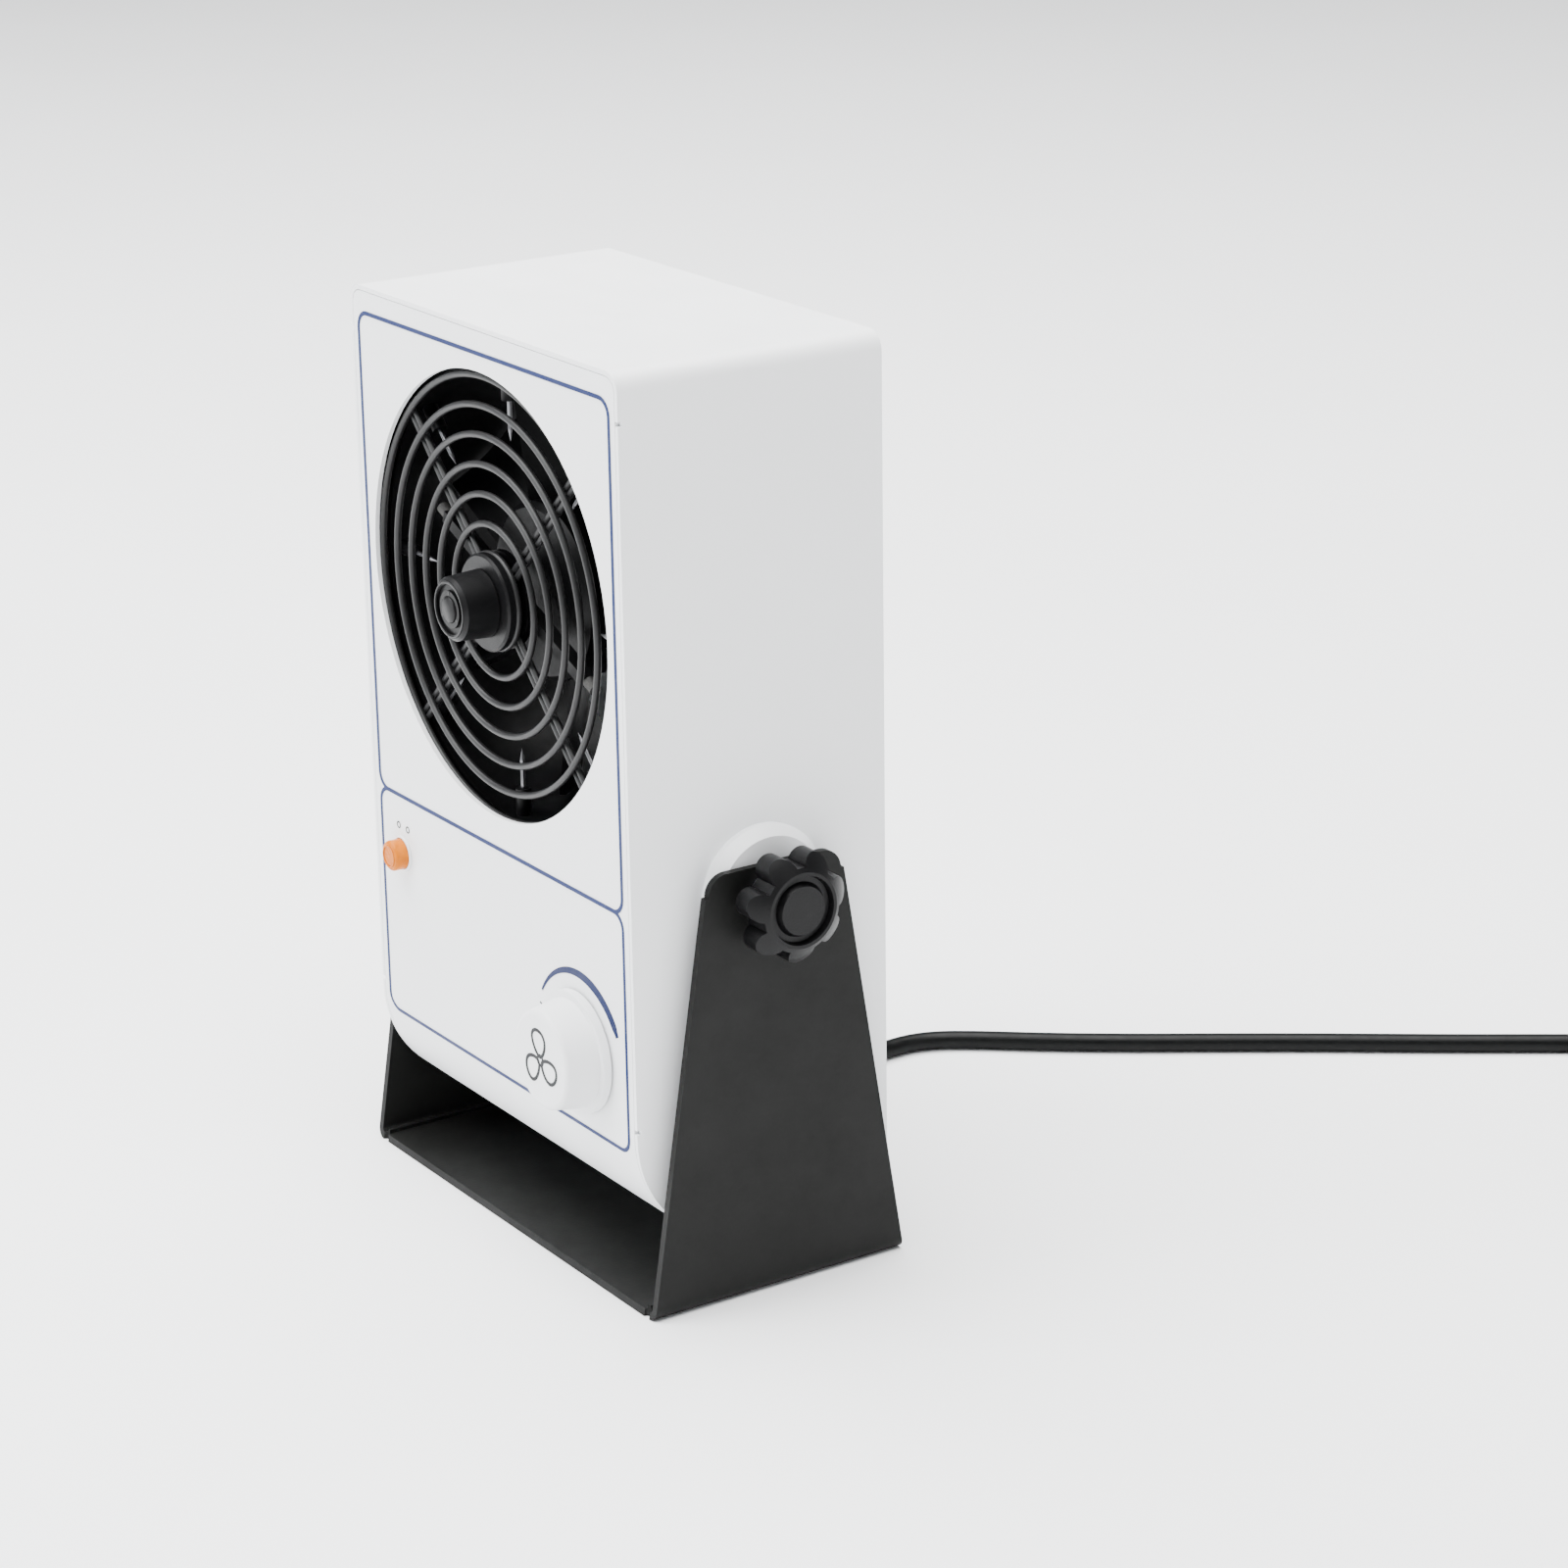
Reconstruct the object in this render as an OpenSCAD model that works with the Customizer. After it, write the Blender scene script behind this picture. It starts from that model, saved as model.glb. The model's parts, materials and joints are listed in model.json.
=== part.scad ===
// Bench-top ionizing blower: a sheet-metal housing with an axial fan, eight emitter needles and a
// finger guard, clamped between the arms of a U-shaped stand. Millimetres, +Z up, +Y to the rear.
// Origin: centre of the stand's underside.

/* [Housing] */
// Gap between the fan's frame and the cover on each side
fan_side_gap = 4.3; // [2.5:0.1:10]
// Gap between the fan's frame and the cover at the top
fan_top_gap = 9.5; // [6:0.5:20]
// Outer depth of the housing
case_d = 75; // [74:1:95]
// Outer height of the housing
case_h = 226; // [222:1:250]
// Thickness of the housing's sheet
sheet = 1.2; // [0.8:0.1:1.6]
// Gap between the cover and the chassis
seam = 0.2; // [0.1:0.05:0.4]
// Outer radius of the large bend under the front panel
front_bend = 33; // [26:1:33]
// Outer radius of the cover's two top bends
cover_bend = 5; // [3:0.5:8]
// Outer radius of the bend between the bottom and the rear panel
rear_bend = 3; // [2:0.5:5]
// Depth of the stiffening flanges behind the front and rear panels
flange = 9; // [6:0.5:10]

/* [Stand] */
// Height of the housing's underside above the stand's underside
case_rise = 14; // [12:0.5:40]
// Distance from the fan's frame down to the tilt axis
pivot_below_fan = 5.3; // [4.8:0.1:12]
// Thickness of the stand's sheet
arm_sheet = 2; // [1.5:0.1:3]
// Gap between the housing's side and the inner face of each arm
arm_gap = 4.65; // [3.5:0.05:6]
// Depth of the stand's base and of the foot of each arm
base_d = 75.6; // [60:0.1:90]
// Depth of each arm at its top
arm_top_d = 39; // [34:0.5:44]
// Height of each arm's top above the tilt axis
arm_over = 9; // [8:0.5:14]
// Radius of the top corners of each arm
arm_corner = 5.5; // [3:0.5:8]
// Outer radius of the bends between base and arms
stand_bend = 3; // [2.5:0.5:6]
// Radius of the two bench bolt holes in the base
bench_hole_r = 2.75; // [2:0.05:3.5]
// Distance between the two bench bolt holes
bench_pitch = 40; // [30:1:50]
// Radius of the two outer keyway holes in the base
outer_hole_r = 3.25; // [2:0.05:4]
// Distance between the two outer holes
outer_pitch = 114; // [90:1:116]
// Radius of the pilot hole at the base's centre
pilot_r = 1.6; // [1:0.1:2.5]

/* [Fan] */
// Side of the fan's square frame
fan_size = 119; // [117:0.5:120]
// Depth of the fan's frame
fan_d = 38; // [36:1:40]
// Width of the fan's frame beside its duct, at the narrowest place
fan_rim = 2; // [1.7:0.1:3]
// Distance from the edges of the fan's frame to its mounting holes
fan_hole_inset = 7.1; // [6.5:0.1:7.5]
// Thickness of the fan frame's two flanges
fan_flange = 4.5; // [3:0.5:6]
// Radius of the fan rotor's hub
hub_r = 23; // [21:0.5:26]
// Gap between the blade tips and the duct
tip_gap = 1.5; // [1:0.1:3]
// Number of fan blades
blades = 7; // [5:1:9]
// Radius of the fan's shaft
fan_shaft_r = 2; // [1.5:0.1:2.5]

/* [Openings] */
// Height of the front opening's centre above the fan's axis
opening_rise = 1.2; // [0:0.1:1.5]
// Distance by which the rear intake's radius is smaller than the duct's
intake_step = 1; // [0:0.5:5]

/* [Guard] */
// Diameter of the guards' wires
wire = 1.8; // [1.4:0.1:2]
// Radius of the innermost wire ring
first_ring_r = 12; // [11.5:0.1:13]
// Distance from the last ring's centre line to the edge of the opening
ring_edge = 0.5; // [0.3:0.1:1.5]
// Number of wire rings
rings = 7; // [5:1:7]
// Gap between the two wires of a spoke
spoke_gap = 0.1; // [0.1:0.05:0.6]
// Distance by which the hub in the middle of the front guard laps over the innermost ring
hub_lap = 0.5; // [0.2:0.1:1.5]
// Distance by which the hub stands out of the front panel
guard_hub_out = 1; // [0.5:0.1:3]

/* [Emitter] */
// Depth of the emitter frame between guard and fan
emitter_d = 8; // [7:0.5:9]
// Number of emitter needles
needles = 8; // [4:2:12]
// Radius of each emitter needle
needle_r = 0.6; // [0.4:0.05:0.8]
// Distance of the needle tips from the fan's axis
needle_tip = 40; // [38:0.5:44]
// Length of each needle's cone
needle_cone = 3; // [2:0.5:4]
// Length of the sockets that stand out of the frame into the duct
socket_len = 7; // [5:0.5:9]
// Radius of the sockets
socket_r = 2; // [1.6:0.1:2.6]

/* [Cleaner] */
// Radius of the cleaner knob's face
cleaner_r = 8.2; // [7:0.1:9]
// Distance from the guard hub's face to the cleaner knob's face
cleaner_out = 9.7; // [8:0.1:14]
// Radius of the cleaner's shaft
cleaner_shaft_r = 2; // [1.5:0.1:2.5]
// Width of the brush arms
brush_w = 3.2; // [2.5:0.1:4]

/* [Controls] */
// Sideways place of the speed knob
dial_x = 38.5; // [30:0.5:42]
// Height of the speed knob's axis above the housing's underside
dial_rise = 48.3; // [47:0.1:54]
// Radius of the speed knob's skirt
dial_skirt_r = 16; // [14:0.5:18]
// Radius of the speed knob's face
dial_face_r = 13; // [10:0.5:15]
// Distance from the front panel to the speed knob's face
dial_out = 11.5; // [10:0.5:16]
// Sideways place of the indicator lamp
lamp_x = -50.3; // [-52:0.1:-40]
// Distance from the fan's frame down to the lamp's axis
lamp_drop = 21.5; // [16:0.5:30]
// Radius of the lamp's lens
lamp_r = 4.1; // [3:0.1:5]
// Distance by which the lens stands out of the front panel
lamp_out = 4.3; // [3:0.1:7]

/* [Clamp] */
// Radius of the clamp knobs over their lobes
clamp_r = 14.5; // [13:0.5:17]
// Number of lobes on a clamp knob
lobes = 7; // [5:1:9]
// Thickness of a clamp knob's lobed grip
grip_t = 8.5; // [6:0.5:12]
// Radius of the clamp studs
stud_r = 3; // [2.5:0.1:3.5]
// Radius of the domed bosses between housing and arms
boss_r = 17.3; // [14:0.1:19]

/* [Cord] */
// Diameter of the mains cord
cord_d = 5.2; // [4.8:0.1:5.4]
// Length of the tapered sleeve outside the rear panel
sleeve_len = 20.5; // [18:0.5:20.5]

/* [Hidden] */
$fn = 96;

// Running clearance of a turning shaft, and the gap left where curved parts pass each other
run_fit = 0.05;
loose = 0.3;
// Overlap used only so that cuts pass cleanly through a face
cut = 1;

// Housing planes and the tilt axis
case_w = fan_size + 2 * (fan_side_gap + sheet);
front_y = -case_d / 2;
rear_y = case_d / 2;
case_z0 = case_rise;
case_z1 = case_z0 + case_h;
fan_z = case_z1 - sheet - fan_top_gap - fan_size / 2;
fan_foot = fan_z - fan_size / 2;
pivot_h = fan_foot - pivot_below_fan;
panel_in = front_y + sheet;
rear_in = rear_y - sheet;
side_in = case_w / 2 - sheet;
chassis_half = side_in - seam;
floor_z = case_z0 + sheet;
arm_in = case_w / 2 + arm_gap;
arm_out = arm_in + arm_sheet;
arm_top = pivot_h + arm_over;
corner_hole_x = fan_size / 2 - fan_hole_inset;

// Fan, guard and emitter stack, from the front panel to the rear
fan_bore_r = fan_size / 2 - fan_rim;
opening_r = fan_bore_r;
intake_r = fan_bore_r - intake_step;
opening_z = fan_z + opening_rise;
weld_bite = 0.15 * wire;
spoke_wire = 0.94 * wire;
ring_y = panel_in + wire / 2;
spoke_y = ring_y + wire - weld_bite;
emitter_y = spoke_y + wire / 2;
fan_y = emitter_y + emitter_d;
fan_end = fan_y + fan_d;
last_ring_r = opening_r - ring_edge;
ring_pitch = (last_ring_r - first_ring_r) / (rings - 1);
spoke_pair = wire + spoke_gap;
guard_hub_r = first_ring_r + hub_lap;
frame_corner = 6;
hub_face = front_y - guard_hub_out;

// Fasteners
m4_r = 2;
m4_clear_r = 2.15;
stud_foot_r = 3.6;
m3_r = 1.5;
m3_clear_r = 1.7;
nut_af = 7;
nut_t = 3.2;
head_r = 3.4;
head_t = 2;

// Yoke and clamp
yoke_t = 2;
yoke_w = 30;
yoke_over = 13;
yoke_in = chassis_half - yoke_t;
weld_nut_af = 10;
weld_nut_t = 5;
washer_t = 1.2;
washer_r = 8;
clamp_hub_r = 8.6;
clamp_hub_len = 2.6;
grip_x = arm_out + washer_t + clamp_hub_len;
clamp_face = grip_x + grip_t;
cover_screw_y = 9;
cover_screw_z = case_z0 + 14;
yoke_screw_x = [-52, -8, 34];
yoke_flat_y = front_y + front_bend + 0.5;
yoke_screw_y = (yoke_flat_y + yoke_w / 2) / 2;

// Controls
dial_z = case_z0 + dial_rise;
lamp_z = fan_foot - lamp_drop;
bush_r = 4.5;
speed_shaft_r = 3;

// Electronics
board_gap = 8;
board_t = 1.6;
board_w = 96;
board_h = 57;
board_rise = 27;
board_inset = 5;
board_z0 = case_z0 + board_rise;
board_z1 = board_z0 + board_h;
board_y = rear_in - board_gap - board_t;
board_hole_x = board_w / 2 - board_inset;
board_hole_z = [board_z0 + board_inset, board_z1 - board_inset];
standoff_r = 3;
relay = [24, 9, 18];
relay_at = [-34, 8];
filter_r = 6;
filter_out = 9;
filter_at = [8, 22];
driver = [14, 8, 10];
driver_at = [24, 26];
module_l = 58;
module_d = 29;
module_h = 26;

// Cord and plug
cord_r = cord_d / 2;
gland_rise = 16;
gland_z = case_z0 + gland_rise;
gland_flange_t = 2;
gland_hole_r = 6.2;
gland_tip = rear_y + gland_flange_t + sleeve_len;
lead_x = -35;
lead_points = [[60, 30], [64, 30], [69, 29.4], [74.2, 27.4], [79, 24.2], [83.6, 19.6], [88, 14.4],
    [92.6, 9.7], [97.6, 5.8], [103, 3.3], [107.5, 2.6], [111, 2.6]];
run_points = [[-35, 111], [-35, 114], [-34, 119], [-31.7, 124.3], [-27.5, 130.5], [-21.5, 138], [-14, 147],
    [-5, 158.5], [5, 172], [17, 189], [30, 207], [43, 224.5], [56, 242], [69, 260], [82, 278],
    [92, 291.7], [101.5, 304.7]];
run_z = 2.6;
coil_x = 135.5;
coil_y = 280;
coil_mean_r = 31.4;
coil_tracks = 5;
coil_layers = 2;
coil_pitch = 5.3;
tail_points = [[171.4, 291.7, 7.9], [172.8, 287.4, 8.3], [174.3, 282.7, 9.5], [175.9, 277.8, 11.2],
    [177.5, 272.8, 12.5], [179.4, 267, 12.5]];
plug_turn = -72;
plug_w = 26;
plug_h = 25;
plug_len = 34;
plug_relief = 22;
pin_len = 17.5;

// ---------- helpers ----------

// Cylinder along +Y that starts at y
module rod_y(x, y, z, r, h, r2 = undef) {
    translate([x, y, z])
        rotate([-90, 0, 0])
            cylinder(r1 = r, r2 = is_undef(r2) ? r : r2, h = h);
}

// Cylinder along +X that starts at x
module rod_x(x, y, z, r, h, r2 = undef) {
    translate([x, y, z])
        rotate([0, 90, 0])
            cylinder(r1 = r, r2 = is_undef(r2) ? r : r2, h = h);
}

// A flat x-z shape made into a plate from y to y + t
module plate_y(y, t) {
    translate([0, y + t, 0])
        rotate([90, 0, 0])
            linear_extrude(t)
                children();
}

// A flat y-z shape made into a plate from x to x + t
module plate_x(x, t) {
    translate([x, 0, 0])
        rotate([90, 0, 90])
            linear_extrude(t)
                children();
}

// Rectangle from a low to a high corner
module span(a, b) {
    translate(a)
        square(b - a);
}

// Rectangle with round corners, exact arcs
module round_rect(a, b, r) {
    span([a[0] + r, a[1]], [b[0] - r, b[1]]);
    span([a[0], a[1] + r], [b[0], b[1] - r]);
    for (x = [a[0] + r, b[0] - r], z = [a[1] + r, b[1] - r])
        translate([x, z])
            circle(r);
}

// Places its children at the fan's four corner holes, on the given y
module fan_corners(y) {
    for (sx = [-1, 1], sz = [-1, 1])
        translate([sx * corner_hole_x, y, fan_z + sz * corner_hole_x])
            children();
}

// Hexagon nut along +Y
module nut_y(af, bore, h) {
    rotate([-90, 0, 0])
        difference() {
            cylinder(d = af / cos(30), h = h, $fn = 6);
            translate([0, 0, -cut])
                cylinder(r = bore, h = h + 2 * cut);
        }
}

// Pan head screw whose head seats at z = 0 and whose thread runs to -z
module pan_screw(thread_r, length) {
    translate([0, 0, -length])
        cylinder(r = thread_r, h = length);
    intersection() {
        cylinder(r = head_r, h = head_t);
        translate([0, 0, head_t - 2 * head_r])
            sphere(2 * head_r);
    }
}

// ---------- stand ----------

module arm_outline() {
    foot = base_d / 2;
    top = arm_top_d / 2;
    difference() {
        polygon([[-foot, 0], [foot, 0], [top, arm_top], [-top, arm_top]]);
        for (s = [-1, 1])
            translate([s * (top - arm_corner), arm_top - arm_corner])
                difference() {
                    translate([s > 0 ? 0 : -2 * arm_corner, 0])
                        square([2 * arm_corner, arm_corner + cut]);
                    circle(arm_corner);
                    translate([s > 0 ? -arm_corner : 0, -arm_corner])
                        square([arm_corner, 2 * arm_corner]);
                }
    }
}

module bend_relief(s) {
    relief = 2.4;
    for (y = [-base_d / 2, base_d / 2])
        translate([s * (arm_out - stand_bend - relief / 2), y, -cut])
            cylinder(r = relief / 2, h = arm_sheet + stand_bend + cut);
}

// One sheet bent into a U: base plate and two tapered arms
module stand() {
    half = base_d / 2;
    color([0.13, 0.13, 0.13])
        difference() {
            union() {
                intersection() {
                    plate_y(-half, base_d)
                        difference() {
                            union() {
                                span([-arm_out + stand_bend, 0], [arm_out - stand_bend, stand_bend]);
                                span([-arm_out, stand_bend], [arm_out, arm_top]);
                                for (s = [-1, 1])
                                    translate([s * (arm_out - stand_bend), stand_bend])
                                        circle(stand_bend);
                            }
                            span([-arm_in + stand_bend, arm_sheet], [arm_in - stand_bend, stand_bend]);
                            span([-arm_in, stand_bend], [arm_in, arm_top + cut]);
                            for (s = [-1, 1])
                                translate([s * (arm_out - stand_bend), stand_bend])
                                    circle(stand_bend - arm_sheet);
                        }
                    plate_x(-arm_out, 2 * arm_out)
                        arm_outline();
                }
            }
            rod_x(-arm_out - cut, 0, pivot_h, stud_r + loose, 2 * arm_out + 2 * cut);
            for (s = [-1, 1]) {
                bend_relief(s);
                translate([s * bench_pitch / 2, 0, -cut])
                    cylinder(r = bench_hole_r, h = arm_sheet + 2 * cut);
                translate([s * outer_pitch / 2, 0, -cut])
                    cylinder(r = outer_hole_r, h = arm_sheet + 2 * cut);
            }
            translate([0, 0, -cut])
                cylinder(r = pilot_r, h = arm_sheet + 2 * cut);
        }
}

// ---------- housing ----------

// Side view of the housing, drawn in by the inset: a large bend at the front, a small one behind
module side_outline(inset, top) {
    span([front_y + inset, case_z0 + front_bend], [rear_y - inset, top]);
    span([front_y + front_bend, case_z0 + inset], [rear_y - rear_bend, case_z0 + front_bend]);
    span([front_y + front_bend, case_z0 + rear_bend], [rear_y - inset, case_z0 + front_bend]);
    translate([front_y + front_bend, case_z0 + front_bend])
        circle(front_bend - inset);
    translate([rear_y - rear_bend, case_z0 + rear_bend])
        circle(max(rear_bend - inset, 0.3));
}

// Front view of the housing with round top corners
module front_outline(half, top, corner) {
    span([-half, case_z0 - cut], [half, top - corner]);
    span([-half + corner, top - 2 * corner], [half - corner, top]);
    for (s = [-1, 1])
        translate([s * (half - corner), top - corner])
            circle(corner);
}

chassis_top = case_z1 - sheet - seam;

// Front panel, large bend, bottom and rear panel from one sheet, with side flanges
module chassis() {
    color([0.9, 0.91, 0.93])
        difference() {
            union() {
                intersection() {
                    plate_x(-chassis_half, 2 * chassis_half)
                        difference() {
                            side_outline(0, chassis_top);
                            side_outline(sheet, chassis_top + cut);
                        }
                    plate_y(front_y - cut, case_d + 2 * cut)
                        front_outline(chassis_half, chassis_top, cover_bend - sheet);
                }
                for (s = [-1, 1], y = [panel_in, rear_in - flange])
                    translate([s > 0 ? chassis_half - sheet : -chassis_half, y, case_z0 + front_bend])
                        cube([sheet, flange, case_h - front_bend - 2 * cover_bend]);
            }
            rod_y(0, front_y - cut, opening_z, opening_r, sheet + 2 * cut);
            rod_y(0, rear_in - cut, fan_z, intake_r, sheet + 2 * cut);
            rod_y(dial_x, front_y - cut, dial_z, bush_r, sheet + 2 * cut);
            rod_y(lamp_x, front_y - cut, lamp_z, lamp_r, sheet + 2 * cut);
            rod_y(lead_x, rear_in - cut, gland_z, gland_hole_r, sheet + 2 * cut);
            fan_corners(rear_in - cut)
                rotate([-90, 0, 0])
                    cylinder(r = m4_r, h = sheet + 2 * cut);
            for (x = yoke_screw_x)
                translate([x, yoke_screw_y, case_z0 - cut])
                    cylinder(r = m3_r, h = sheet + 2 * cut);
            for (sx = [-1, 1], z = board_hole_z)
                rod_y(sx * board_hole_x, rear_in - cut, z, m3_r, sheet + 2 * cut);
        }
}

// Top and sides from one sheet, shaped below to the chassis's bends
module cover() {
    notch = 1.2;
    notch_z = [case_z0 + front_bend + 2, case_z1 - 12];
    color([0.95, 0.95, 0.95])
        difference() {
            intersection() {
                plate_y(front_y, case_d)
                    difference() {
                        front_outline(case_w / 2, case_z1, cover_bend);
                        front_outline(side_in, case_z1 - sheet, cover_bend - sheet);
                    }
                plate_x(-case_w / 2, case_w)
                    side_outline(0, case_z1);
            }
            rod_x(-case_w, 0, pivot_h, stud_r + loose, 2 * case_w);
            for (y = [-cover_screw_y, cover_screw_y])
                rod_x(-case_w, y, cover_screw_z, m3_r, 2 * case_w);
            for (s = [-1, 1], z = notch_z)
                translate([s * side_in - notch, front_y - notch, z - notch / 2])
                    cube([2 * notch, 2 * notch, notch]);
        }
}

// Inner U bracket that carries the housing's weight to the two clamp studs
module yoke() {
    yoke_top = pivot_h + yoke_over;
    color([0.7, 0.71, 0.72])
        difference() {
            translate([-chassis_half, -yoke_w / 2, floor_z])
                cube([2 * chassis_half, yoke_w, yoke_top - floor_z]);
            translate([-yoke_in, -yoke_w / 2 - cut, floor_z + yoke_t])
                cube([2 * yoke_in, yoke_w + 2 * cut, yoke_top]);
            translate([-case_w, -yoke_w, floor_z - cut])
                cube([2 * case_w, yoke_w + yoke_flat_y, yoke_t + 3 + cut]);
            rod_x(-case_w, 0, pivot_h, stud_r + loose, 2 * case_w);
            for (y = [-cover_screw_y, cover_screw_y])
                rod_x(-case_w, y, cover_screw_z, m3_r, 2 * case_w);
            for (x = yoke_screw_x)
                translate([x, yoke_screw_y, floor_z - cut])
                    cylinder(r = m3_r, h = yoke_t + 2 * cut);
        }
}

module weld_nuts() {
    color([0.75, 0.75, 0.76])
        for (s = [-1, 1])
            translate([s > 0 ? yoke_in - weld_nut_t : -yoke_in, 0, pivot_h])
                rotate([0, 0, -90])
                    nut_y(weld_nut_af, stud_r + run_fit, weld_nut_t);
}

module yoke_screws() {
    color([0.75, 0.75, 0.76])
        for (x = yoke_screw_x)
            translate([x, yoke_screw_y, case_z0])
                rotate([180, 0, 0])
                    pan_screw(m3_r, sheet + yoke_t + 4);
}

module cover_screws() {
    color([0.8, 0.8, 0.8])
        for (s = [-1, 1], y = [-cover_screw_y, cover_screw_y])
            translate([s * case_w / 2, y, cover_screw_z])
                rotate([0, s * 90, 0])
                    pan_screw(m3_r, sheet + seam + yoke_t + 2);
}

// ---------- pivot and clamps ----------

// Domed plastic boss: full radius at the lip, narrower at the face that meets the arm
module pivot_boss(s) {
    lip = 1.5;
    face_r = boss_r - 2.3;
    reach = arm_gap - lip;
    middle = (boss_r * boss_r - face_r * face_r - reach * reach) / (2 * reach);
    dome_r = sqrt(boss_r * boss_r + middle * middle);
    color([0.97, 0.97, 0.97])
        translate([s * case_w / 2, 0, pivot_h])
            rotate([0, s * 90, 0])
                difference() {
                    intersection() {
                        cylinder(r = boss_r, h = arm_gap);
                        translate([0, 0, lip - middle])
                            sphere(dome_r);
                    }
                    translate([0, 0, -cut])
                        cylinder(r = stud_r + loose, h = arm_gap + 2 * cut);
                }
}

module pivot_boss_right() {
    pivot_boss(1);
}

module pivot_boss_left() {
    pivot_boss(-1);
}

// Lobed grip with a short hub, a domed rim and a dished face; local +Z points away from the arm
module clamp_knob(s) {
    lobe_r = 3.6;
    lobe_at = clamp_r - lobe_r;
    dish_r = 9.2;
    dish_t = 1.6;
    color([0.12, 0.12, 0.12])
        translate([s * (arm_out + washer_t), 0, pivot_h])
            rotate([0, s * 90, 0])
                difference() {
                    union() {
                        cylinder(r = clamp_hub_r, h = clamp_hub_len);
                        intersection() {
                            translate([0, 0, clamp_hub_len])
                                linear_extrude(grip_t) {
                                    circle(lobe_at);
                                    for (i = [0:lobes - 1])
                                        rotate(i * 360 / lobes)
                                            translate([lobe_at, 0])
                                                circle(lobe_r, $fn = 32);
                                }
                            translate([0, 0, clamp_hub_len + grip_t - 1.25 * clamp_r])
                                sphere(1.42 * clamp_r);
                        }
                    }
                    translate([0, 0, clamp_hub_len + grip_t - dish_t])
                        difference() {
                            cylinder(r1 = dish_r - 0.8, r2 = dish_r, h = dish_t + cut);
                            translate([0, 0, -cut])
                                cylinder(r1 = dish_r - 1.6, r2 = dish_r - 3, h = dish_t + cut);
                        }
                    translate([0, 0, -cut])
                        cylinder(r = stud_r, h = clamp_hub_len + grip_t / 2 + cut);
                }
}

module clamp_knob_right() {
    clamp_knob(1);
}

module clamp_knob_left() {
    clamp_knob(-1);
}

module clamp_stud(s) {
    inner = yoke_in - weld_nut_t;
    outer = grip_x + grip_t / 2;
    color([0.7, 0.7, 0.72])
        rod_x(s > 0 ? inner : -outer, 0, pivot_h, stud_r, outer - inner);
}

module clamp_stud_right() {
    clamp_stud(1);
}

module clamp_stud_left() {
    clamp_stud(-1);
}

module clamp_washer(s) {
    color([0.6, 0.6, 0.62])
        difference() {
            rod_x(s > 0 ? arm_out : -arm_out - washer_t, 0, pivot_h, washer_r, washer_t);
            rod_x(s > 0 ? arm_out - cut : -arm_out - washer_t - cut, 0, pivot_h, stud_r,
                washer_t + 2 * cut);
        }
}

module clamp_washer_right() {
    clamp_washer(1);
}

module clamp_washer_left() {
    clamp_washer(-1);
}

// ---------- guards ----------

module wire_ring(y, r) {
    translate([0, y, fan_z])
        rotate([-90, 0, 0])
            rotate_extrude()
                translate([r, 0])
                    circle(d = wire, $fn = 16);
}

// Concentric rings on four double-wire spokes that end in an eyelet round each corner screw
module wire_guard(rings_y, spokes_y) {
    eyelet_r = m4_r + loose + wire / 2;
    eyelet_at = corner_hole_x * sqrt(2);
    for (i = [0:rings - 1])
        wire_ring(rings_y, first_ring_r + i * ring_pitch);
    for (a = [45:90:315])
        translate([0, spokes_y, fan_z])
            rotate([0, a, 0]) {
                for (side = [-1, 1])
                    translate([first_ring_r - 1, 0, side * spoke_pair / 2])
                        rotate([0, 90, 0])
                            cylinder(d = spoke_wire, h = eyelet_at - eyelet_r - first_ring_r + 1.2);
                translate([eyelet_at, 0, 0])
                    rotate([-90, 0, 0])
                        rotate_extrude()
                            translate([eyelet_r, 0])
                                circle(d = wire, $fn = 16);
            }
}

module front_guard() {
    color([0.12, 0.12, 0.12])
        wire_guard(ring_y, spoke_y);
}

module rear_guard() {
    color([0.7, 0.71, 0.73])
        wire_guard(rear_y + 1.5 * wire - weld_bite, rear_y + wire / 2);
}

module rear_guard_screws() {
    color([0.75, 0.75, 0.76])
        fan_corners(rear_y + wire)
            rotate([-90, 0, 0])
                pan_screw(m4_r, wire + sheet + 5);
}

// ---------- hub, cleaner and emitter ----------

hub_boss_r = 9;
hub_rear = emitter_y + 1.5;
spring_wire = 0.7;
spring_turns = 7;
spring_r = cleaner_shaft_r + loose + spring_wire;
pocket_r = spring_r + spring_wire;
pocket_y = hub_rear - spring_turns * spring_wire - loose;

module guard_hub() {
    color([0.1, 0.1, 0.1])
        difference() {
            union() {
                rod_y(0, hub_face, fan_z, guard_hub_r - 0.6, 0.6, guard_hub_r);
                rod_y(0, hub_face + 0.6, fan_z, guard_hub_r, panel_in - hub_face - 0.6);
                rod_y(0, panel_in, fan_z, hub_boss_r, hub_rear - panel_in);
            }
            rod_y(0, hub_face - cut, fan_z, cleaner_shaft_r + run_fit, hub_rear - hub_face + 2 * cut);
            rod_y(0, pocket_y, fan_z, pocket_r, hub_rear - pocket_y + cut);
        }
}

module hub_retainer() {
    color([0.1, 0.1, 0.1])
        difference() {
            rod_y(0, emitter_y, fan_z, guard_hub_r, hub_rear - emitter_y);
            rod_y(0, emitter_y - cut, fan_z, hub_boss_r, hub_rear - emitter_y + 2 * cut);
        }
}

module hub_screws() {
    screw_r = 0.9;
    screw_at = (hub_boss_r + pocket_r) / 2 + 0.4;
    washer = 0.8;
    color([0.75, 0.75, 0.76])
        for (s = [-1, 1])
            rod_y(s * screw_at, hub_rear, fan_z, 2 * screw_r, washer);
}

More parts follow.
